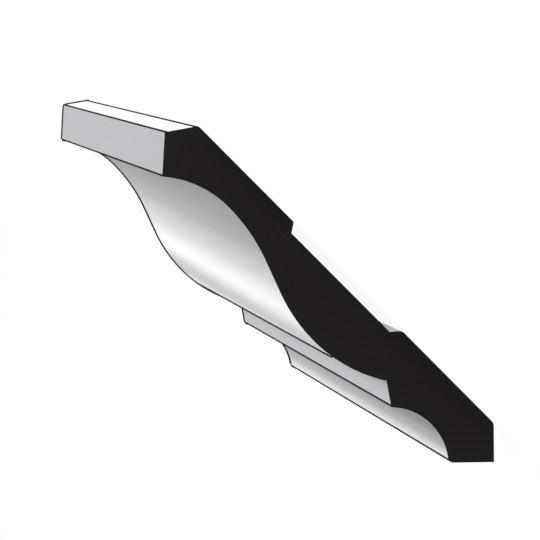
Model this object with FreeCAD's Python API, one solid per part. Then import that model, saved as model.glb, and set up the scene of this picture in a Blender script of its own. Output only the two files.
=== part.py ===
"""Cornice moulding: one six-inch length of a 5/8 x 4-1/8 inch sprung crown pattern, run in one piece.

It lies on its back. +X is the edge that meets the ceiling, -X the edge that meets the wall,
+Y runs along the length and +Z points out of the moulded face. The origin is under the middle
of the piece, on the plane of the two back pads. Lengths are in millimetres. Slopes are in
degrees from the plane of the back.
"""
import FreeCAD, Part
import os
from math import atan2, cos, degrees, radians, sin, tan

# Overall: across the face from arris to arris, and along the piece
FACE_WIDTH = 104.8
LENGTH = 152.4

# Ceiling edge: the face that lies against the ceiling, then the square fillet in front
CEILING_FACE = 7.4
CEILING_FACE_DEG = 54.5
TOP_FILLET = 9.5
TOP_FILLET_DEG = 48.5

# Ogee: the hollow falls to its lowest line and rises to a straight run, then the belly rises
# to its crown. Past the crown, the belly falls to the quirk, the inner corner at the lower fillet.
HOLLOW_ENTRY_DEG = 40.2
HOLLOW_UPPER_RADIUS = 23.0
HOLLOW_LOWER_RADIUS = 41.5
OGEE_RUN = 7.6
OGEE_RUN_DEG = 20.3
BELLY_UPPER_RADIUS = 37.5

# Wall edge: the face that lies against the wall, the narrow bottom face, the small cove
# and the lower fillet that ends in the quirk
WALL_FACE = 8.8
WALL_FACE_DEG = 44.0
BOTTOM_FACE = 10.5
BOTTOM_FACE_DEG = 43.5
COVE_RADIUS = 14.0
COVE_OUTER_DEG = 40.5
COVE_INNER_DEG = 42.0
LOWER_FILLET = 6.0
LOWER_FILLET_DEG = 34.4

# Shallow relief ploughed along the back, between the two pads
CEILING_PAD = 29.6
RELIEF_WIDTH = 34.6
RELIEF_DEPTH = 2.1
RELIEF_CEILING_SIDE_DEG = 57.0
RELIEF_WALL_SIDE_DEG = 48.0

# Corners that are eased along the whole length
CEILING_CORNER_EASE = 0.8
WALL_CORNER_EASE = 1.8
RELIEF_CORNER_EASE = 1.6
COVE_ARRIS_EASE = 1.25

# Heading along the back plane towards the wall edge
LEVEL = 180.0


class Pen:
    """Draws the section at the near end, with headings in degrees from +X towards +Z."""

    def __init__(self, x):
        self.place = FreeCAD.Vector(x, -LENGTH / 2, 0)
        self.heading = 0.0
        self.edges = []

    def direction(self, turn=0.0):
        angle = radians(self.heading + turn)
        return FreeCAD.Vector(cos(angle), 0, sin(angle))

    def line(self, heading, length):
        self.heading = heading
        end = self.place + self.direction() * length
        self.edges.append(Part.LineSegment(self.place, end).toShape())
        self.place = end

    def arc(self, radius, sweep):
        """Tangent arc that turns by sweep: to the left when positive, to the right when negative."""
        side = 90.0 if sweep > 0 else -90.0
        centre = self.place + self.direction(side) * radius
        middle = centre + self.direction(sweep / 2 - side) * radius
        end = centre + self.direction(sweep - side) * radius
        self.edges.append(Part.Arc(self.place, middle, end).toShape())
        self.place = end
        self.heading += sweep


def draw_ceiling_edge():
    """From the back corner at the ceiling edge, round the ceiling face and up the top fillet."""
    pen = Pen(FACE_WIDTH / 2 - CEILING_FACE * cos(radians(CEILING_FACE_DEG)))
    corner = pen.place
    pen.line(CEILING_FACE_DEG, CEILING_FACE)
    pen.line(LEVEL - TOP_FILLET_DEG, TOP_FILLET)
    return pen, corner


def draw_wall_edge():
    """From the back corner at the wall edge, over the cove and down the lower fillet."""
    pen = Pen(-FACE_WIDTH / 2 + WALL_FACE * cos(radians(WALL_FACE_DEG)))
    corner = pen.place
    pen.line(LEVEL - WALL_FACE_DEG, WALL_FACE)
    pen.line(BOTTOM_FACE_DEG, BOTTOM_FACE)
    cove_arris = pen.place
    pen.heading = -COVE_OUTER_DEG
    pen.arc(COVE_RADIUS, COVE_OUTER_DEG + COVE_INNER_DEG)
    pen.line(-LOWER_FILLET_DEG, LOWER_FILLET)
    return pen, corner, cove_arris


def draw_ogee(pen, quirk):
    """From the top fillet to the quirk. The arc past the crown takes up the rest of the face width."""
    pen.heading = LEVEL + HOLLOW_ENTRY_DEG
    pen.arc(HOLLOW_UPPER_RADIUS, -HOLLOW_ENTRY_DEG)
    pen.arc(HOLLOW_LOWER_RADIUS, -OGEE_RUN_DEG)
    pen.line(LEVEL - OGEE_RUN_DEG, OGEE_RUN)
    pen.arc(BELLY_UPPER_RADIUS, OGEE_RUN_DEG)
    across = pen.place.x - quirk.x
    drop = pen.place.z - quirk.z
    belly_lower_radius = (across**2 + drop**2) / (2 * drop)
    pen.arc(belly_lower_radius, 2 * degrees(atan2(drop, across)))


def draw_back(ceiling_corner, wall_corner):
    """Both pads and the relief between them. Returns the relief's corner on the wall side."""
    mouth_start = ceiling_corner.x - CEILING_PAD
    mouth_end = mouth_start - RELIEF_WIDTH
    floor_start = mouth_start - RELIEF_DEPTH / tan(radians(RELIEF_CEILING_SIDE_DEG))
    floor_end = mouth_end + RELIEF_DEPTH / tan(radians(RELIEF_WALL_SIDE_DEG))
    near = ceiling_corner.y
    relief_corner = FreeCAD.Vector(mouth_end, near, 0)
    points = [
        ceiling_corner,
        FreeCAD.Vector(mouth_start, near, 0),
        FreeCAD.Vector(floor_start, near, RELIEF_DEPTH),
        FreeCAD.Vector(floor_end, near, RELIEF_DEPTH),
        relief_corner,
        wall_corner,
    ]
    edges = [Part.LineSegment(a, b).toShape() for a, b in zip(points, points[1:])]
    return edges, relief_corner


def long_edge_at(solid, corner):
    """The edge of the solid that runs along the length from this corner of the near end."""
    middle = corner + FreeCAD.Vector(0, LENGTH / 2, 0)
    return min(solid.Edges, key=lambda edge: edge.CenterOfMass.distanceToPoint(middle))


def make_moulding():
    pen, ceiling_corner = draw_ceiling_edge()
    wall_pen, wall_corner, cove_arris = draw_wall_edge()
    draw_ogee(pen, wall_pen.place)
    back, relief_corner = draw_back(ceiling_corner, wall_corner)
    outline = Part.sortEdges(pen.edges + wall_pen.edges + back)[0]
    section = Part.Face(Part.Wire(outline))
    solid = section.extrude(FreeCAD.Vector(0, LENGTH, 0))

    eased_corners = [
        (ceiling_corner, CEILING_CORNER_EASE),
        (wall_corner, WALL_CORNER_EASE),
        (relief_corner, RELIEF_CORNER_EASE),
        (cove_arris, COVE_ARRIS_EASE),
    ]
    for corner, radius in eased_corners:
        solid = solid.makeFillet(radius, [long_edge_at(solid, corner)])
    return solid


moulding = make_moulding()
os.makedirs("parts", exist_ok=True)
moulding.exportStep("parts/cornice_moulding.step")

box = moulding.BoundBox
print(f"face width {box.XLength:.2f}, length {box.YLength:.2f}, thickness {box.ZLength:.2f}")
print(f"valid {moulding.isValid()}, volume {moulding.Volume / 1000:.2f} cm3")
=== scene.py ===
"""Cornice moulding: the looks of one six-inch length of sprung crown moulding, painted, its ends sealed dark.

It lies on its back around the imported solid. +X is the edge that meets the ceiling, -X the edge that
meets the wall, +Y runs along the length and +Z points out of the moulded face. Sizes are in metres.
Slopes are in degrees from the plane of the back.
"""

from collections import namedtuple
from math import atan2, ceil, cos, degrees, pi, radians, sin, tan

import bpy
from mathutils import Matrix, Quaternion, Vector


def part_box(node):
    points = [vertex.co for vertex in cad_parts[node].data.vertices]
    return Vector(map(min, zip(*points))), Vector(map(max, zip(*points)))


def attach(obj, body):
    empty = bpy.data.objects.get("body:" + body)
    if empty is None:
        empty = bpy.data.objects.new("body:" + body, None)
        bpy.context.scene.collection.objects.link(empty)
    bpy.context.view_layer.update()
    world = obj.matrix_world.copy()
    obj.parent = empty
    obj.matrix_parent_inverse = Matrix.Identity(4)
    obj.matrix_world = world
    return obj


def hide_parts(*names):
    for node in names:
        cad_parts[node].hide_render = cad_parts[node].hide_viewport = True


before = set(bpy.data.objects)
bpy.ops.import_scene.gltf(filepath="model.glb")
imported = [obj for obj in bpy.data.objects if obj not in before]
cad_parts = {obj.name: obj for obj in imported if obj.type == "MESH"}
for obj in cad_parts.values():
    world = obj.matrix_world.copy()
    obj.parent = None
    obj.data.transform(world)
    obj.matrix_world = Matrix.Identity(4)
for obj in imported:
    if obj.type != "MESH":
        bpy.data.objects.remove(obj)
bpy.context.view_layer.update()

MM = 0.001
SOLID = "cornice_moulding"

# Overall sizes, from the solid
low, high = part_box(SOLID)
FACE_WIDTH = high.x - low.x
LENGTH = high.y - low.y

# Section, the same sizes as the solid's
CEILING_FACE = 7.4 * MM
CEILING_FACE_DEG = 54.5
TOP_FILLET = 9.5 * MM
TOP_FILLET_DEG = 48.5
HOLLOW_ENTRY_DEG = 40.2
HOLLOW_UPPER_RADIUS = 23.0 * MM
HOLLOW_LOWER_RADIUS = 41.5 * MM
OGEE_RUN = 7.6 * MM
OGEE_RUN_DEG = 20.3
BELLY_UPPER_RADIUS = 37.5 * MM
WALL_FACE = 8.8 * MM
WALL_FACE_DEG = 44.0
BOTTOM_FACE = 10.5 * MM
BOTTOM_FACE_DEG = 43.5
COVE_RADIUS = 14.0 * MM
COVE_OUTER_DEG = 40.5
COVE_INNER_DEG = 42.0
LOWER_FILLET = 6.0 * MM
LOWER_FILLET_DEG = 34.4
CEILING_PAD = 29.6 * MM
RELIEF_WIDTH = 34.6 * MM
RELIEF_DEPTH = 2.1 * MM
RELIEF_CEILING_SIDE_DEG = 57.0
RELIEF_WALL_SIDE_DEG = 48.0

# Heading along the back plane towards the wall edge
LEVEL = 180.0

# Corners that the solid has eased: the radius of each, and how far it reaches along each side
CEILING_CORNER_EASE = 0.8 * MM
WALL_CORNER_EASE = 1.8 * MM
RELIEF_CORNER_EASE = 1.6 * MM
COVE_ARRIS_EASE = 1.25 * MM
CEILING_CORNER_REACH = CEILING_CORNER_EASE * tan(radians(CEILING_FACE_DEG / 2))
WALL_CORNER_REACH = WALL_CORNER_EASE * tan(radians(WALL_FACE_DEG / 2))
RELIEF_CORNER_REACH = RELIEF_CORNER_EASE * tan(radians(RELIEF_WALL_SIDE_DEG / 2))
COVE_ARRIS_REACH = COVE_ARRIS_EASE * tan(radians((BOTTOM_FACE_DEG + COVE_OUTER_DEG) / 2))

# Arrises and inner corners that the sander or the paint has softened, along the length and round
# the two ends
ARRIS_REACH = 0.2 * MM
INNER_REACH = 0.2 * MM
END_EASE = 0.12 * MM

# Bead of sealer that stands up round the far end: its width, the width of its slope and its height
BEAD_WIDTH = 1.0 * MM
BEAD_RISE = 0.1 * MM
BEAD_HEIGHT = 0.32 * MM

# Fine rib along the belly: half its width, its height, and the slope at which it stands
RIB_HALF_WIDTH = 0.16 * MM
RIB_HEIGHT = 0.36 * MM
RIB_SLOPE_DEG = 8.8

# Fineness of the mesh: the step along round stretches, the narrow strip that holds a face flat
# beside its edge, the turn from facet to facet of a rounded corner, the facets of the rib and of
# each eased end, and the rings along the length
ROUND_STEP = 0.55 * MM
HOLD = 0.15 * MM
CORNER_STEP_DEG = 7.0
RIB_STEPS = 6
END_EASE_STEPS = 2
RINGS = 45

# What the sweep along the length is given
SWEEP_SIZES = {
    "Length": LENGTH,
    "End Ease": END_EASE,
    "Hold": HOLD,
    "Bead Width": BEAD_WIDTH,
    "Bead Rise": BEAD_RISE,
    "Bead Height": BEAD_HEIGHT,
    "Ease Steps": END_EASE_STEPS,
    "Rings": RINGS,
}

# Finishes, in the order of their numbers on the mesh
WHITE, TOP_GREY, LOWER_GREY, OGEE, COVE, PRIMER, LINE, SEALER = range(8)

# Share of the bead's height on the stretches that carry less of it
BEAD_SHARES = {PRIMER: 0.0, TOP_GREY: 0.75, LOWER_GREY: 0.75}

# How each corner is finished, named for the stretch that starts there, going round the section
# from the back over the ceiling edge: the reach of its easing, the part of its turn that is dark,
# how far the dark line reaches along the faces before and after the corner, the height of a rib,
# and the share of the bead's height that goes round the corner
ALL_DARK = (0.0, 1.0)
NONE_DARK = (1.0, 1.0)
Corner = namedtuple("Corner", "ease dark line_before line_after rib bead",
                    defaults=(NONE_DARK, 0.0, 0.0, 0.0, 1.0))
CORNERS = {
    "ceiling_face": Corner(CEILING_CORNER_REACH, dark=(0.15, 1.0), line_after=1.12 * MM, bead=0.0),
    "top_fillet": Corner(ARRIS_REACH, dark=(0.0, 0.7), line_before=0.75 * MM, bead=0.6),
    "hollow": Corner(ARRIS_REACH, dark=ALL_DARK, line_before=0.45 * MM, bead=0.2),
    "belly_under": Corner(RIB_HALF_WIDTH, rib=RIB_HEIGHT),
    "lower_fillet": Corner(INNER_REACH),
    "cove": Corner(ARRIS_REACH, dark=ALL_DARK, line_before=0.6 * MM, bead=0.2),
    "bottom_face": Corner(COVE_ARRIS_REACH, dark=(0.09, 0.85), bead=0.35),
    "wall_face": Corner(ARRIS_REACH),
    "wall_pad": Corner(WALL_CORNER_REACH, bead=0.0),
    "relief_wall_side": Corner(RELIEF_CORNER_REACH, bead=0.0),
    "relief_floor": Corner(INNER_REACH, bead=0.0),
    "relief_ceiling_side": Corner(INNER_REACH, bead=0.0),
    "ceiling_pad": Corner(ARRIS_REACH, bead=0.0),
}
TANGENT = Corner(0.0)

# Satin paint on the long faces: the white, and the greys of the two fillets, which are painted shade, the
# lower one lighter so that both show the same shade under the lamp. Then the share of its tone that is left
# in the darkest streaks, and its least and greatest roughness
WHITE_PAINT = (0.912, 0.909, 0.907, 1.0)
TOP_FILLET_SHADE_GREY = (0.334, 0.337, 0.352, 1.0)
LOWER_FILLET_SHADE_GREY = (0.401, 0.405, 0.424, 1.0)
STREAK_SHADE = 0.96
PAINT_ROUGHNESS = (0.56, 0.64)
PAINT_SPECULAR = 0.15

# Painted shade in the hollow, over the crown and in the cove: its grey, its depth at places across the face
# in millimetres from the middle of the width, whether it fades evenly or softly between them, the slant of
# its lines to the length, and its share at each end
PaintedShade = namedtuple("PaintedShade", "colour depths fade slant near far")
PAINTED_SHADE_GREY = (0.331, 0.338, 0.348, 1.0)
COVE_SHADE_GREY = (0.282, 0.288, 0.298, 1.0)
HOLLOW_DEPTHS = ((6.8, 0.0), (8.5, 0.13), (13.0, 0.6), (21.0, 1.0), (27.0, 1.0), (36.0, 0.8))
CROWN_DEPTHS = ((-7.5, 0.0), (-3.5, 1.0), (-1.0, 1.0), (6.0, 0.0))
COVE_DEPTHS = ((-45.0, 0.38), (-41.0, 0.92), (-38.0, 1.0), (-26.0, 0.4))
HOLLOW_PAINTED_SHADE = PaintedShade(PAINTED_SHADE_GREY, HOLLOW_DEPTHS, "LINEAR", slant=0.02, near=1.0, far=0.79)
CROWN_PAINTED_SHADE = PaintedShade(PAINTED_SHADE_GREY, CROWN_DEPTHS, "EASE", slant=0.029, near=0.35, far=0.53)
COVE_PAINTED_SHADE = PaintedShade(COVE_SHADE_GREY, COVE_DEPTHS, "EASE", slant=0.0, near=1.0, far=0.9)

# Brushed coat: the depth of its relief, and the shares that its streaks and the planer's ripples
# have in it
COAT_DEPTH = 0.006 * MM
STREAK_RELIEF = 0.6
RIPPLE_RELIEF = 0.4

# Streaks and mottling of the coat, in repeats per metre along x, y and z, and the streaks' share of
# its tone
STREAK_SCALES = (1700.0, 22.0, 1700.0)
STREAK_DETAIL = 3.0
MOTTLE_SCALES = (90.0, 45.0, 90.0)
STREAK_SHARE = 0.4

# Ripples of the coat: their pitch, how far they wander in radians, and the scales of that wander
RIPPLE_PITCH = 1.7 * MM
RIPPLE_WANDER = 4.0
RIPPLE_SCALES = (60.0, 160.0, 60.0)

# Dark line of wiped sealer: its darkest and its lightest tone
LINE_TONES = ((0.007, 0.0065, 0.0065, 1.0), (0.012, 0.011, 0.011, 1.0))
LINE_ROUGHNESS = 0.85
LINE_SPECULAR = 0.01

# Thin primer on the back, and the grain of the wood in it
PRIMER_TONES = ((0.76, 0.74, 0.71, 1.0), (0.84, 0.83, 0.81, 1.0))
PRIMER_ROUGHNESS = (0.18, 0.26)
PRIMER_SPECULAR = 1.0
GRAIN_SCALES = (420.0, 9.0, 420.0)
GRAIN_DETAIL = 4.0

# Dark sealer on the ends
SEALER_TONES = ((0.0264, 0.0206, 0.0214, 1.0), (0.0302, 0.0238, 0.0247, 1.0))
SEALER_ROUGHNESS = 0.8
SEALER_SPECULAR = 0.1
SEALER_DEPTH = 0.02 * MM

# Growth rings on the ends, round the pith of the log below the back: their pitch, how far they
# wander, the scales of that wander, and their share of the pattern, of which the pores have the rest
PITH = (15.0 * MM, 0.0, -55.0 * MM)
GROWTH_PITCH = 1.9 * MM
GROWTH_WANDER = 1.6 * MM
GROWTH_SCALES = (70.0, 70.0, 70.0)
GROWTH_SHARE = 0.6
PORE_SCALES = (2600.0, 2600.0, 2600.0)

# Values between which nearly all of a noise lies, plain and with the finer detail of the grain
NOISE_SPAN = (0.3, 0.7)
GRAIN_SPAN = (0.35, 0.65)

# Camera, found from the drawn corners. It is rolled past its side, so that the moulding slopes as
# drawn
CAMERA_PLACE = Vector((0.14022, -0.60649, 0.05599))
CAMERA_AIM = Vector((0.00513, -0.03458, 0.00752))
CAMERA_ROLL_DEG = 136.22
CAMERA_LENS = 168.69
CAMERA_SENSOR = 36.0

# Light: an even, slightly cool surround, and one soft lamp on the ceiling side, aimed at the origin
PURE_WHITE = (1.0, 1.0, 1.0, 1.0)
AMBIENT_TINT = (0.96, 0.975, 1.0, 1.0)
AMBIENT_STRENGTH = 0.511
LAMP_PLACE = Vector((1.37, 0.2, 0.5))
LAMP_SIZE = 0.5
LAMP_POWER = 22.7

# Floor, a hair below the pads: the grey that throws light on the moulding, and the small share of
# grey and the white glow that are seen
FLOOR_SIZE = 8.0
FLOOR_GAP = 0.02 * MM
FLOOR_GREY = (0.53, 0.53, 0.53, 1.0)
SHADOW_GREY = (0.12, 0.12, 0.12, 1.0)
FLOOR_GLOW = 0.94


def toward(heading):
    """The direction of a heading in the plane of the section, x and z."""
    return Vector((cos(radians(heading)), sin(radians(heading))))


class Run:
    """One straight or round stretch of the section. The sweep is to the left when positive."""

    def __init__(self, name, start, heading, length, finish, sweep=0.0):
        self.name = name
        self.start = start
        self.heading = heading
        self.length = length
        self.finish = finish
        self.sweep = sweep

    def at(self, distance):
        """The place at a distance along the run."""
        if not self.sweep:
            return self.start + toward(self.heading) * distance
        side = 90.0 if self.sweep > 0 else -90.0
        radius = self.length / radians(abs(self.sweep))
        centre = self.start + toward(self.heading + side) * radius
        turned = self.sweep * distance / self.length
        return centre + toward(self.heading - side + turned) * radius

    def flipped(self):
        """The same run, drawn from its end to its start."""
        heading = self.heading + self.sweep + 180.0
        return Run(self.name, self.at(self.length), heading, self.length, self.finish, -self.sweep)


class Pen:
    """Draws runs one after the other, from a place in the plane of the section."""

    def __init__(self, place):
        self.place = place
        self.heading = 0.0
        self.runs = []

    def add(self, run):
        self.runs.append(run)
        self.place = run.at(run.length)
        self.heading = run.heading + run.sweep

    def line(self, name, heading, length, finish):
        self.add(Run(name, self.place, heading, length, finish))

    def arc(self, name, radius, sweep, finish):
        self.add(Run(name, self.place, self.heading, radius * radians(abs(sweep)), finish, sweep))

    def line_to(self, name, end, finish):
        step = end - self.place
        self.line(name, degrees(atan2(step.y, step.x)), step.length, finish)


def draw_wall_edge(wall_corner):
    """From the back corner at the wall edge, over the cove and down the lower fillet to the quirk."""
    pen = Pen(wall_corner)
    pen.line("wall_face", LEVEL - WALL_FACE_DEG, WALL_FACE, WHITE)
    pen.line("bottom_face", BOTTOM_FACE_DEG, BOTTOM_FACE, WHITE)
    pen.heading = -COVE_OUTER_DEG
    pen.arc("cove", COVE_RADIUS, COVE_OUTER_DEG + COVE_INNER_DEG, COVE)
    pen.line("lower_fillet", -LOWER_FILLET_DEG, LOWER_FILLET, LOWER_GREY)
    return pen


def draw_face(ceiling_corner, quirk):
    """From the back corner at the ceiling edge, over the top fillet and the ogee to the quirk."""
    pen = Pen(ceiling_corner)
    pen.line("ceiling_face", CEILING_FACE_DEG, CEILING_FACE, WHITE)
    pen.line("top_fillet", LEVEL - TOP_FILLET_DEG, TOP_FILLET, TOP_GREY)
    pen.heading = LEVEL + HOLLOW_ENTRY_DEG
    pen.arc("hollow", HOLLOW_UPPER_RADIUS, -HOLLOW_ENTRY_DEG, OGEE)
    pen.arc("hollow_rise", HOLLOW_LOWER_RADIUS, -OGEE_RUN_DEG, OGEE)
    pen.line("ogee_run", LEVEL - OGEE_RUN_DEG, OGEE_RUN, OGEE)
    pen.arc("belly", BELLY_UPPER_RADIUS, OGEE_RUN_DEG, OGEE)
    across = pen.place.x - quirk.x
    drop = pen.place.y - quirk.y
    belly_lower_radius = (across**2 + drop**2) / (2 * drop)
    belly_fall_deg = 2 * degrees(atan2(drop, across))
    pen.arc("belly_fall", belly_lower_radius, RIB_SLOPE_DEG, OGEE)
    pen.arc("belly_under", belly_lower_radius, belly_fall_deg - RIB_SLOPE_DEG, OGEE)
    return pen


def draw_back(pen, ceiling_corner):
    """Both pads and the relief between them, from the wall edge to the ceiling edge."""
    mouth_start = ceiling_corner.x - CEILING_PAD
    mouth_end = mouth_start - RELIEF_WIDTH
    floor_end = mouth_end + RELIEF_DEPTH / tan(radians(RELIEF_WALL_SIDE_DEG))
    floor_start = mouth_start - RELIEF_DEPTH / tan(radians(RELIEF_CEILING_SIDE_DEG))
    pen.line_to("wall_pad", Vector((mouth_end, 0.0)), PRIMER)
    pen.line_to("relief_wall_side", Vector((floor_end, RELIEF_DEPTH)), PRIMER)
    pen.line_to("relief_floor", Vector((floor_start, RELIEF_DEPTH)), PRIMER)
    pen.line_to("relief_ceiling_side", Vector((mouth_start, 0.0)), PRIMER)
    pen.line_to("ceiling_pad", ceiling_corner, PRIMER)


def draw_section():
    """The closed section as runs, anticlockwise as seen from the near end."""
    ceiling_corner = Vector((FACE_WIDTH / 2 - CEILING_FACE * cos(radians(CEILING_FACE_DEG)), 0.0))
    wall_corner = Vector((-FACE_WIDTH / 2 + WALL_FACE * cos(radians(WALL_FACE_DEG)), 0.0))
    wall_pen = draw_wall_edge(wall_corner)
    pen = draw_face(ceiling_corner, wall_pen.place)
    pen.runs += [run.flipped() for run in reversed(wall_pen.runs)]
    pen.place = wall_corner
    draw_back(pen, ceiling_corner)
    return pen.runs


def stops_along(run, start, end):
    """Distances along a run at which the outline has a point, and the finish of each stretch."""
    first = max(start.line_after, start.ease + HOLD) if start.ease else 0.0
    last = run.length - (max(end.line_before, end.ease + HOLD) if end.ease else 0.0)
    steps = ceil((last - first) / ROUND_STEP) if run.sweep else 1
    stops = [first + (last - first) * step / steps for step in range(steps + 1)]
    finishes = [run.finish] * steps
    if start.ease:
        stops.insert(0, start.ease)
        finishes.insert(0, LINE if start.line_after else run.finish)
    if end.ease:
        stops.append(run.length - end.ease)
        finishes.append(LINE if end.line_before else run.finish)
    return stops, finishes


def rib_across(run, height):
    """Points over a half-round rib across the end of a run, but for its far foot, and their beads."""
    along = toward(run.heading + run.sweep) * RIB_HALF_WIDTH
    outward = toward(run.heading + run.sweep - 90.0) * height
    middle = run.at(run.length)
    turns = [pi * step / RIB_STEPS for step in range(RIB_STEPS)]
    points = [middle - along * cos(turn) + outward * sin(turn) for turn in turns]
    beads = [1.0 - sin(turn) for turn in turns]
    return points, beads


def rounded_corner(run, following, end):
    """Points round an eased corner, but for its far side, and the finish of the facet after each."""
    corner = run.at(run.length)
    before = run.at(run.length - end.ease)
    after = following.at(end.ease)
    turn = abs((following.heading - run.heading - run.sweep + 180.0) % 360.0 - 180.0)
    steps = ceil(turn / CORNER_STEP_DEG)
    points, finishes = [], []
    for step in range(steps):
        part = step / steps
        points.append(before * (1 - part) ** 2 + corner * 2 * part * (1 - part) + after * part**2)
        middle = part + 0.5 / steps
        plain = run.finish if middle < end.dark[0] else following.finish
        is_dark = end.dark[0] <= middle <= end.dark[1]
        finishes.append(LINE if is_dark else plain)
    return points, finishes


def trace_outline(runs):
    """Points round the section, the finish of the stretch that starts at each, and its share of bead."""
    points, finishes, beads = [], [], []
    for number, run in enumerate(runs):
        following = runs[(number + 1) % len(runs)]
        start = CORNERS.get(run.name, TANGENT)
        end = CORNERS.get(following.name, TANGENT)
        stops, stretch_finishes = stops_along(run, start, end)
        points += [run.at(stop) for stop in stops[:-1]]
        finishes += stretch_finishes
        beads += [BEAD_SHARES.get(run.finish, 1.0)] * len(stretch_finishes)
        if end.rib:
            rib_points, rib_beads = rib_across(run, end.rib)
            points += rib_points
            finishes += [LINE] * len(rib_points)
            beads += rib_beads
        elif end.ease:
            corner_points, corner_finishes = rounded_corner(run, following, end)
            points += corner_points
            finishes += corner_finishes
            beads += [end.bead] * len(corner_points)
    return points, finishes, beads


def make_outline():
    """The outline as a mesh of loose points that hold their outward direction, finish and bead."""
    points, finishes, beads = trace_outline(draw_section())
    mesh = bpy.data.meshes.new("section_outline")
    mesh.from_pydata([(point.x, 0.0, point.y) for point in points], [], [])
    outward = []
    for number, point in enumerate(points):
        arriving = (point - points[number - 1]).normalized()
        leaving = (points[(number + 1) % len(points)] - point).normalized()
        along = (arriving + leaving).normalized()
        outward += [along.y, 0.0, -along.x]
    mesh.attributes.new("outward", "FLOAT_VECTOR", "POINT").data.foreach_set("vector", outward)
    mesh.attributes.new("finish", "INT", "POINT").data.foreach_set("value", finishes)
    mesh.attributes.new("bead", "FLOAT", "POINT").data.foreach_set("value", beads)
    return bpy.data.objects.new("painted_moulding", mesh)


class Nodes:
    """Adds nodes to a tree. Each input is given as a plain value or as the socket that feeds it."""

    def __init__(self, tree):
        self.tree = tree

    def add(self, kind, inputs=None, **settings):
        node = self.tree.nodes.new(kind)
        for name, value in settings.items():
            setattr(node, name, value)
        for name, value in (inputs or {}).items():
            self.feed(node.inputs[name], value)
        return node

    def feed(self, socket, value):
        if isinstance(value, bpy.types.NodeSocket):
            self.tree.links.new(value, socket)
        else:
            socket.default_value = value

    def math(self, operation, first, second=0.0):
        return self.add("ShaderNodeMath", {0: first, 1: second}, operation=operation).outputs[0]

    def vector(self, operation, first, second):
        """Vector math. Scaling takes its plain number at a socket of its own."""
        name = "Scale" if operation == "SCALE" else 1
        node = self.add("ShaderNodeVectorMath", {0: first, name: second}, operation=operation)
        return node.outputs[0]

    def spread(self, value, from_low, from_high, to_low, to_high):
        """The value brought from one span to another, and kept inside it."""
        inputs = {"Value": value, "From Min": from_low, "From Max": from_high,
                  "To Min": to_low, "To Max": to_high}
        return self.add("ShaderNodeMapRange", inputs).outputs[0]

    def blend(self, first, second, share):
        """Sum of two values, weighted by the first one's share and what is left of it."""
        return self.math("ADD", self.math("MULTIPLY", first, share),
                         self.math("MULTIPLY", second, 1.0 - share))

    def mixed(self, factor, first, second):
        """Colour between first and second, by the factor.

        The mix node takes its colours at sockets 6 and 7, and gives the mixed one at socket 2.
        """
        return self.add("ShaderNodeMix", {0: factor, 6: first, 7: second}, data_type="RGBA").outputs[2]

    def placed(self, group, **inputs):
        """A group's outputs, with its inputs given by name, an underscore for each space."""
        given = {name.replace("_", " "): value for name, value in inputs.items()}
        return self.add("ShaderNodeGroup", given, node_tree=group).outputs


def outline_sample(nodes, outline, value, kind, stretch):
    """A value of the outline's point at the start of a stretch."""
    inputs = {"Geometry": outline, "Value": value, "Index": stretch}
    node = nodes.add("GeometryNodeSampleIndex", inputs, data_type=kind, domain="POINT")
    return node.outputs["Value"]


def outline_value(nodes, outline, name, kind, stretch):
    """A named value that the outline's point at the start of a stretch holds."""
    held = nodes.add("GeometryNodeInputNamedAttribute", {"Name": name}, data_type=kind)
    return outline_sample(nodes, outline, held.outputs["Attribute"], kind, stretch)


def swept_ring(nodes, given, count):
    """A closed ring with as many points as the outline, swept over the rings along the length.

    Its points and its side faces both come ring by ring, in the order of the outline.
    """
    profile = nodes.add("GeometryNodeCurvePrimitiveCircle", {"Resolution": count}).outputs["Curve"]
    end = nodes.add("ShaderNodeCombineXYZ", {"Y": given["Length"]}).outputs[0]
    rail = nodes.add("GeometryNodeCurvePrimitiveLine", {"End": end}).outputs["Curve"]
    rail = nodes.add("GeometryNodeResampleCurve", {"Curve": rail, "Count": given["Rings"]}).outputs["Curve"]
    swept = nodes.add("GeometryNodeCurveToMesh",
                      {"Curve": rail, "Profile Curve": profile, "Fill Caps": True}).outputs["Mesh"]
    return nodes.add("GeometryNodeFlipFaces", {"Mesh": swept}).outputs["Mesh"]


RingMarks = namedtuple("RingMarks", "last near_hold far_hold bead_foot bead_top bead_end")


def ring_marks(nodes, given):
    """The numbers of the rings at which the sweep changes, counted from the near end."""
    last = nodes.math("SUBTRACT", given["Rings"], 1.0)
    near_hold = nodes.math("ADD", given["Ease Steps"], 1.0)
    bead_end = nodes.math("SUBTRACT", last, given["Ease Steps"])
    bead_top = nodes.math("SUBTRACT", bead_end, 1.0)
    bead_foot = nodes.math("SUBTRACT", bead_end, 2.0)
    far_hold = nodes.math("SUBTRACT", bead_end, 3.0)
    return RingMarks(last, near_hold, far_hold, bead_foot, bead_top, bead_end)


def end_turns(nodes, given, marks, ring):
    """How far a ring has come round the eased arris of the near end, and of the far end."""
    from_far_end = nodes.math("SUBTRACT", marks.last, ring)
    near_turn = nodes.spread(ring, 0.0, given["Ease Steps"], 0.0, pi / 2)
    far_turn = nodes.spread(from_far_end, 0.0, given["Ease Steps"], 0.0, pi / 2)
    return near_turn, far_turn


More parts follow.
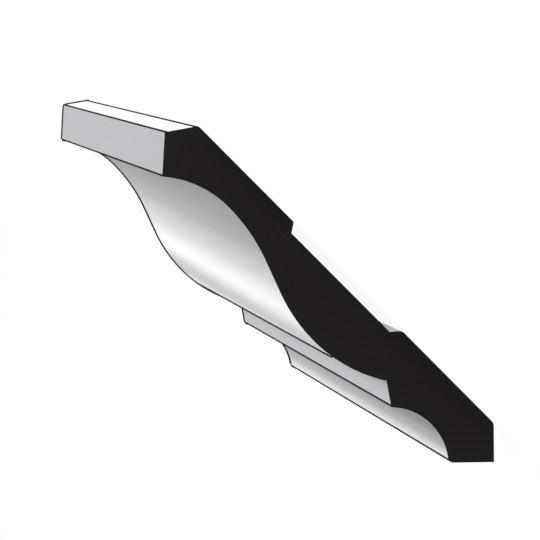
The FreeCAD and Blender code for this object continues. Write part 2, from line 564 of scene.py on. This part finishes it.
def ring_place(nodes, given, marks, ring, turns):
    """How far along each ring lies, from the middle of the length.

    The rings are evenly spaced, with a close one at each end of them that holds the faces flat. The
    foot and the top of the bead come next, and the last rings at each end go round the eased arris.
    """
    half = nodes.math("MULTIPLY", given["Length"], 0.5)
    straight = nodes.math("SUBTRACT", half, given["End Ease"])
    near_place = nodes.math("SUBTRACT", given["Hold"], straight)
    foot_place = nodes.math("SUBTRACT", half, given["Bead Width"])
    far_place = nodes.math("SUBTRACT", foot_place, given["Hold"])
    top_place = nodes.math("ADD", foot_place, given["Bead Rise"])
    near_gap = nodes.math("MULTIPLY", given["Hold"], -1.0)
    end_gap = nodes.math("SUBTRACT", straight, top_place)
    along = nodes.spread(ring, marks.near_hold, marks.far_hold, near_place, far_place)
    for first, second, gap_start, gap_end in (
        (given["Ease Steps"], marks.near_hold, near_gap, 0.0),
        (marks.far_hold, marks.bead_foot, 0.0, given["Hold"]),
        (marks.bead_foot, marks.bead_top, 0.0, given["Bead Rise"]),
        (marks.bead_top, marks.bead_end, 0.0, end_gap),
    ):
        along = nodes.math("ADD", along, nodes.spread(ring, first, second, gap_start, gap_end))
    near_turn, far_turn = turns
    outreach = nodes.math("SUBTRACT", nodes.math("COSINE", far_turn), nodes.math("COSINE", near_turn))
    return nodes.math("ADD", along, nodes.math("MULTIPLY", outreach, given["End Ease"]))


def ring_reach(nodes, given, marks, ring, turns, bead):
    """How far a point stands out from the section: less than nothing at the ends, more on the bead.

    Away from the ends both turns are complete, so their sines come to 2 and draw nothing in.
    """
    near_turn, far_turn = turns
    sines = nodes.math("ADD", nodes.math("SINE", near_turn), nodes.math("SINE", far_turn))
    drawn_in = nodes.math("MULTIPLY", nodes.math("SUBTRACT", sines, 2.0), given["End Ease"])
    raised = nodes.spread(ring, marks.bead_foot, marks.bead_top, 0.0, given["Bead Height"])
    return nodes.math("ADD", drawn_in, nodes.math("MULTIPLY", raised, bead))


def on_sealer_lap(nodes, marks, ring):
    """1 where the wiped sealer laps round the near or the far end, as far as the close rings."""
    near_lap = nodes.math("LESS_THAN", ring, marks.near_hold)
    far_lap = nodes.math("GREATER_THAN", ring, nodes.math("SUBTRACT", marks.far_hold, 0.5))
    return nodes.math("ADD", near_lap, far_lap)


def shaded(nodes, swept, is_end):
    """The two ends are flat, and everything else is shaded smooth."""
    swept = nodes.add("GeometryNodeSetShadeSmooth", {"Geometry": swept, "Shade Smooth": True}).outputs[0]
    flat_ends = {"Geometry": swept, "Selection": is_end, "Shade Smooth": False}
    return nodes.add("GeometryNodeSetShadeSmooth", flat_ends).outputs[0]


def finished(nodes, swept, finish, is_end, is_lap, finishes):
    """White goes on every face, then each other finish on its own stretches of the outline.

    The line's finish is also on the laps, and the sealer, which comes last, is only on the ends.
    Whole numbers are compared at sockets 2 and 3.
    """
    for number, material in finishes.items():
        if number == WHITE:
            chosen = True
        elif number == SEALER:
            chosen = is_end
        else:
            chosen = nodes.add("FunctionNodeCompare", {2: finish, 3: number},
                               data_type="INT", operation="EQUAL").outputs[0]
        if number == LINE:
            chosen = nodes.add("FunctionNodeBooleanMath", {0: chosen, 1: is_lap}, operation="OR").outputs[0]
        swept = nodes.add("GeometryNodeSetMaterial",
                          {"Geometry": swept, "Selection": chosen, "Material": material}).outputs[0]
    return swept


def moulding_tree(finishes):
    """Sweeps the outline along the length, with eased ends and a bead, and gives each face its finish."""
    tree = bpy.data.node_groups.new("run_moulding", "GeometryNodeTree")
    tree.interface.new_socket("Outline", in_out="INPUT", socket_type="NodeSocketGeometry")
    for label, size in SWEEP_SIZES.items():
        kind = "NodeSocketInt" if isinstance(size, int) else "NodeSocketFloat"
        tree.interface.new_socket(label, in_out="INPUT", socket_type=kind)
    tree.interface.new_socket("Moulding", in_out="OUTPUT", socket_type="NodeSocketGeometry")
    nodes = Nodes(tree)
    given = nodes.add("NodeGroupInput").outputs
    outline = given["Outline"]
    count = nodes.add("GeometryNodeAttributeDomainSize", {"Geometry": outline}).outputs["Point Count"]
    index = nodes.add("GeometryNodeInputIndex").outputs[0]
    stretch = nodes.math("MODULO", index, count)
    ring = nodes.math("FLOOR", nodes.math("DIVIDE", index, count))
    marks = ring_marks(nodes, given)

    # Each point goes to its place on the section, along the length and out or in
    turns = end_turns(nodes, given, marks, ring)
    position = nodes.add("GeometryNodeInputPosition").outputs[0]
    place = outline_sample(nodes, outline, position, "FLOAT_VECTOR", stretch)
    outward = outline_value(nodes, outline, "outward", "FLOAT_VECTOR", stretch)
    bead = outline_value(nodes, outline, "bead", "FLOAT", stretch)
    reach = ring_reach(nodes, given, marks, ring, turns, bead)
    place = nodes.vector("ADD", place, nodes.vector("SCALE", outward, reach))
    along = ring_place(nodes, given, marks, ring, turns)
    place = nodes.vector("ADD", place, nodes.add("ShaderNodeCombineXYZ", {"Y": along}).outputs[0])
    swept = swept_ring(nodes, given, count)
    swept = nodes.add("GeometryNodeSetPosition", {"Geometry": swept, "Position": place}).outputs[0]

    # The two ends are the faces that come after all the side faces
    side_faces = nodes.math("MULTIPLY", count, marks.last)
    is_end = nodes.add("FunctionNodeCompare", {"A": index, "B": side_faces},
                       data_type="FLOAT", operation="GREATER_EQUAL").outputs[0]
    swept = shaded(nodes, swept, is_end)
    swept = nodes.add("GeometryNodeRealizeInstances", {"Geometry": swept}).outputs[0]
    finish = outline_value(nodes, outline, "finish", "INT", stretch)
    is_lap = on_sealer_lap(nodes, marks, ring)
    swept = finished(nodes, swept, finish, is_end, is_lap, finishes)
    nodes.add("NodeGroupOutput", {"Moulding": swept})
    return tree


def run_moulding(finishes):
    """The moulding as a plain mesh, swept from its outline."""
    piece = make_outline()
    bpy.context.scene.collection.objects.link(piece)
    tree = moulding_tree(finishes)
    modifier = piece.modifiers.new("run_moulding", "NODES")
    modifier.node_group = tree
    for item in tree.interface.items_tree:
        if item.name in SWEEP_SIZES:
            modifier[item.identifier] = SWEEP_SIZES[item.name]
    shown = piece.evaluated_get(bpy.context.evaluated_depsgraph_get())
    mesh = bpy.data.meshes.new_from_object(shown)
    piece.modifiers.clear()
    piece.data = mesh
    mesh.name = piece.name
    return piece


def new_group(name, inputs, outputs):
    """An empty shader group with the named inputs and outputs, its nodes, and what it is given."""
    tree = bpy.data.node_groups.new(name, "ShaderNodeTree")
    for label in inputs:
        tree.interface.new_socket(label, in_out="INPUT", socket_type="NodeSocketFloat")
    for label in outputs:
        tree.interface.new_socket(label, in_out="OUTPUT", socket_type="NodeSocketFloat")
    nodes = Nodes(tree)
    return tree, nodes, nodes.add("NodeGroupInput").outputs


def object_point(nodes):
    return nodes.add("ShaderNodeTexCoord").outputs["Object"]


def stretched_noise(nodes, scales, detail=2.0):
    """Noise whose grain is drawn out: a scale for each of x, y and z, in repeats per metre."""
    drawn = nodes.vector("MULTIPLY", object_point(nodes), scales)
    noise = nodes.add("ShaderNodeTexNoise", {"Vector": drawn, "Scale": 1.0, "Detail": detail})
    return noise.outputs[0]


def waves(nodes, turns):
    """Waves between 0 and 1, from their turns in radians."""
    return nodes.spread(nodes.math("SINE", turns), -1.0, 1.0, 0.0, 1.0)


def brushed_coat_group():
    """Paint laid along the length: fine brush streaks, the planer's faint ripples, and mottling."""
    tree, nodes, given = new_group("brushed_coat", ["Streaks", "Ripples"], ["Tone", "Sheen", "Height"])
    streaks = stretched_noise(nodes, STREAK_SCALES, STREAK_DETAIL)
    mottle = stretched_noise(nodes, MOTTLE_SCALES)
    wander = stretched_noise(nodes, RIPPLE_SCALES)
    along = nodes.add("ShaderNodeSeparateXYZ", {0: object_point(nodes)}).outputs["Y"]
    turns = nodes.math("MULTIPLY", along, 2 * pi / RIPPLE_PITCH)
    turns = nodes.math("ADD", turns, nodes.math("MULTIPLY", wander, RIPPLE_WANDER))
    height = nodes.math("ADD", nodes.math("MULTIPLY", streaks, given["Streaks"]),
                        nodes.math("MULTIPLY", waves(nodes, turns), given["Ripples"]))
    tone = nodes.blend(streaks, mottle, STREAK_SHARE)
    nodes.add("NodeGroupOutput", {"Tone": tone, "Sheen": mottle, "Height": height})
    return tree


def painted_shade_reach_group():
    """Place between the two edges of a painted shade across the face, and its share at a place along it."""
    tree, nodes, given = new_group(
        "painted_shade_reach", ["Start", "End", "Slant", "Near Share", "Far Share"], ["Place", "Share"])
    at = nodes.add("ShaderNodeSeparateXYZ", {0: object_point(nodes)}).outputs
    across = nodes.math("SUBTRACT", at["X"], nodes.math("MULTIPLY", at["Y"], given["Slant"]))
    place = nodes.spread(across, given["Start"], given["End"], 0.0, 1.0)
    share = nodes.spread(at["Y"], -LENGTH / 2, LENGTH / 2, given["Near Share"], given["Far Share"])
    nodes.add("NodeGroupOutput", {"Place": place, "Share": share})
    return tree


def new_material(name):
    material = bpy.data.materials.new(name)
    material.use_nodes = True
    material.node_tree.nodes.clear()
    return material, Nodes(material.node_tree)


def finish_surface(nodes, colour, roughness, specular, height, depth):
    """The surface itself, with a relief of the given depth."""
    relief = nodes.add("ShaderNodeBump", {"Strength": 1.0, "Distance": depth, "Height": height})
    shader = nodes.add("ShaderNodeBsdfPrincipled",
                       {"Base Color": colour, "Roughness": roughness, "Specular IOR Level": specular,
                        "Normal": relief.outputs[0]})
    nodes.add("ShaderNodeOutputMaterial", {"Surface": shader.outputs[0]})


def painted_shade_mask(nodes, reach_group, painted_shade):
    """How deep the painted shade lies over the paint."""
    first, last = painted_shade.depths[0][0], painted_shade.depths[-1][0]
    reach = nodes.placed(reach_group, Start=first * MM, End=last * MM, Slant=painted_shade.slant,
                         Near_Share=painted_shade.near, Far_Share=painted_shade.far)
    ramp = nodes.add("ShaderNodeValToRGB", {"Fac": reach["Place"]})
    ramp.color_ramp.interpolation = painted_shade.fade
    marks = ramp.color_ramp.elements
    while len(marks) < len(painted_shade.depths):
        marks.new(0.5)
    for mark, (place, depth) in zip(marks, painted_shade.depths):
        mark.position = (place - first) / (last - first)
        mark.color = (depth, depth, depth, 1.0)
    return nodes.math("MULTIPLY", ramp.outputs["Color"], reach["Share"])


def paint(name, groups, colour, painted_shades=()):
    """Satin paint on a long face, with any painted shade over it."""
    material, nodes = new_material(name)
    coat = nodes.placed(groups["coat"], Streaks=STREAK_RELIEF, Ripples=RIPPLE_RELIEF)
    darker = tuple(STREAK_SHADE * channel for channel in colour[:3]) + (1.0,)
    tone = nodes.mixed(nodes.spread(coat["Tone"], *NOISE_SPAN, 0.0, 1.0), darker, colour)
    for painted_shade in painted_shades:
        tone = nodes.mixed(painted_shade_mask(nodes, groups["painted_shade"], painted_shade), tone, painted_shade.colour)
    rough = nodes.spread(coat["Sheen"], *NOISE_SPAN, *PAINT_ROUGHNESS)
    finish_surface(nodes, tone, rough, PAINT_SPECULAR, coat["Height"], COAT_DEPTH)
    return material


def arris_line(groups):
    """The dark line along an arris and round the ends, where the sealer has been wiped along the edge."""
    material, nodes = new_material("arris_line")
    coat = nodes.placed(groups["coat"], Streaks=STREAK_RELIEF, Ripples=RIPPLE_RELIEF)
    tone = nodes.mixed(coat["Tone"], *LINE_TONES)
    finish_surface(nodes, tone, LINE_ROUGHNESS, LINE_SPECULAR, coat["Height"], COAT_DEPTH)
    return material


def back_primer(groups):
    """Thin primer on the back, with the grain of the wood just showing along the length.

    Its relief is that of the grain, so it takes only the sheen of the coat.
    """
    material, nodes = new_material("back_primer")
    coat = nodes.placed(groups["coat"])
    grain = stretched_noise(nodes, GRAIN_SCALES, GRAIN_DETAIL)
    tone = nodes.mixed(nodes.spread(grain, *GRAIN_SPAN, 0.0, 1.0), *PRIMER_TONES)
    rough = nodes.spread(coat["Sheen"], *NOISE_SPAN, *PRIMER_ROUGHNESS)
    finish_surface(nodes, tone, rough, PRIMER_SPECULAR, grain, COAT_DEPTH)
    return material


def end_sealer():
    """Dark sealer on the cut ends, thin enough for the growth rings and the pores to show a little."""
    material, nodes = new_material("end_sealer")
    from_pith = nodes.vector("SUBTRACT", object_point(nodes), PITH)
    from_pith = nodes.vector("MULTIPLY", from_pith, (1.0, 0.0, 1.0))
    radius = nodes.add("ShaderNodeVectorMath", {0: from_pith}, operation="LENGTH").outputs["Value"]
    wander = stretched_noise(nodes, GROWTH_SCALES)
    radius = nodes.math("ADD", radius, nodes.math("MULTIPLY", wander, GROWTH_WANDER))
    growth = waves(nodes, nodes.math("MULTIPLY", radius, 2 * pi / GROWTH_PITCH))
    relief = nodes.blend(growth, stretched_noise(nodes, PORE_SCALES), GROWTH_SHARE)
    tone = nodes.mixed(relief, *SEALER_TONES)
    finish_surface(nodes, tone, SEALER_ROUGHNESS, SEALER_SPECULAR, relief, SEALER_DEPTH)
    return material


def make_finishes():
    groups = {"coat": brushed_coat_group(), "painted_shade": painted_shade_reach_group()}
    return {
        # The fillets' greys and the grey over the ogee and the cove are painted shade
        WHITE: paint("white_paint", groups, WHITE_PAINT),
        TOP_GREY: paint("top_fillet_shade_grey", groups, TOP_FILLET_SHADE_GREY),
        LOWER_GREY: paint("lower_fillet_shade_grey", groups, LOWER_FILLET_SHADE_GREY),
        OGEE: paint("ogee_paint", groups, WHITE_PAINT, painted_shades=(HOLLOW_PAINTED_SHADE, CROWN_PAINTED_SHADE)),
        COVE: paint("cove_paint", groups, WHITE_PAINT, painted_shades=(COVE_PAINTED_SHADE,)),
        PRIMER: back_primer(groups),
        LINE: arris_line(groups),
        SEALER: end_sealer(),
    }


def seen_or_mirrored(nodes):
    """1 for what the camera, a reflection or a view through glass sees, and 0 for light on surfaces."""
    path = nodes.add("ShaderNodeLightPath").outputs
    seen = nodes.math("MAXIMUM", path["Is Camera Ray"], path["Is Glossy Ray"])
    return nodes.math("MAXIMUM", seen, path["Is Transmission Ray"])


def make_world():
    """An even surround that lights softly, and is plain white where it is seen."""
    world = bpy.data.worlds.new("studio")
    world.use_nodes = True
    world.node_tree.nodes.clear()
    nodes = Nodes(world.node_tree)
    ambient = nodes.add("ShaderNodeBackground", {"Color": AMBIENT_TINT, "Strength": AMBIENT_STRENGTH})
    white = nodes.add("ShaderNodeBackground", {"Color": PURE_WHITE, "Strength": 1.0})
    shown = nodes.add("ShaderNodeMixShader",
                      {0: seen_or_mirrored(nodes), 1: ambient.outputs[0], 2: white.outputs[0]})
    nodes.add("ShaderNodeOutputWorld", {"Surface": shown.outputs[0]})
    bpy.context.scene.world = world


def make_floor():
    """A plain pale floor. Seen directly it is white, and its share of plain diffuse keeps the shadow."""
    half = FLOOR_SIZE / 2
    mesh = bpy.data.meshes.new("floor")
    corners = [(-half, -half), (half, -half), (half, half), (-half, half)]
    mesh.from_pydata([(x, y, -FLOOR_GAP) for x, y in corners], [], [(0, 1, 2, 3)])
    floor = bpy.data.objects.new("floor", mesh)
    bpy.context.scene.collection.objects.link(floor)
    material, nodes = new_material("pale_floor")
    pale = nodes.add("ShaderNodeBsdfDiffuse", {"Color": FLOOR_GREY})
    shadowed = nodes.add("ShaderNodeBsdfDiffuse", {"Color": SHADOW_GREY})
    glow = nodes.add("ShaderNodeEmission", {"Color": PURE_WHITE, "Strength": FLOOR_GLOW})
    seen = nodes.add("ShaderNodeAddShader", {0: shadowed.outputs[0], 1: glow.outputs[0]})
    shown = nodes.add("ShaderNodeMixShader",
                      {0: seen_or_mirrored(nodes), 1: pale.outputs[0], 2: seen.outputs[0]})
    nodes.add("ShaderNodeOutputMaterial", {"Surface": shown.outputs[0]})
    mesh.materials.append(material)


def make_lamp():
    """A round softbox, on the ceiling side of the moulding."""
    data = bpy.data.lights.new("key_softbox", "AREA")
    data.shape = "DISK"
    data.size = LAMP_SIZE
    data.energy = LAMP_POWER
    lamp = bpy.data.objects.new("key_softbox", data)
    lamp.location = LAMP_PLACE
    lamp.rotation_mode = "QUATERNION"
    lamp.rotation_quaternion = (-LAMP_PLACE).to_track_quat("-Z", "Y")
    bpy.context.scene.collection.objects.link(lamp)


def make_camera():
    """The camera at the drawing's viewing angle."""
    data = bpy.data.cameras.new("camera")
    data.lens = CAMERA_LENS
    data.sensor_width = CAMERA_SENSOR
    camera = bpy.data.objects.new("camera", data)
    camera.location = CAMERA_PLACE
    upright = (CAMERA_AIM - CAMERA_PLACE).to_track_quat("-Z", "Y")
    camera.rotation_mode = "QUATERNION"
    camera.rotation_quaternion = upright @ Quaternion((0.0, 0.0, 1.0), radians(-CAMERA_ROLL_DEG))
    bpy.context.scene.collection.objects.link(camera)
    bpy.context.scene.camera = camera


moulding = run_moulding(make_finishes())
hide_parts(SOLID)
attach(moulding, "root")

make_world()
make_floor()
make_lamp()
make_camera()
bpy.context.scene.view_settings.view_transform = "Standard"
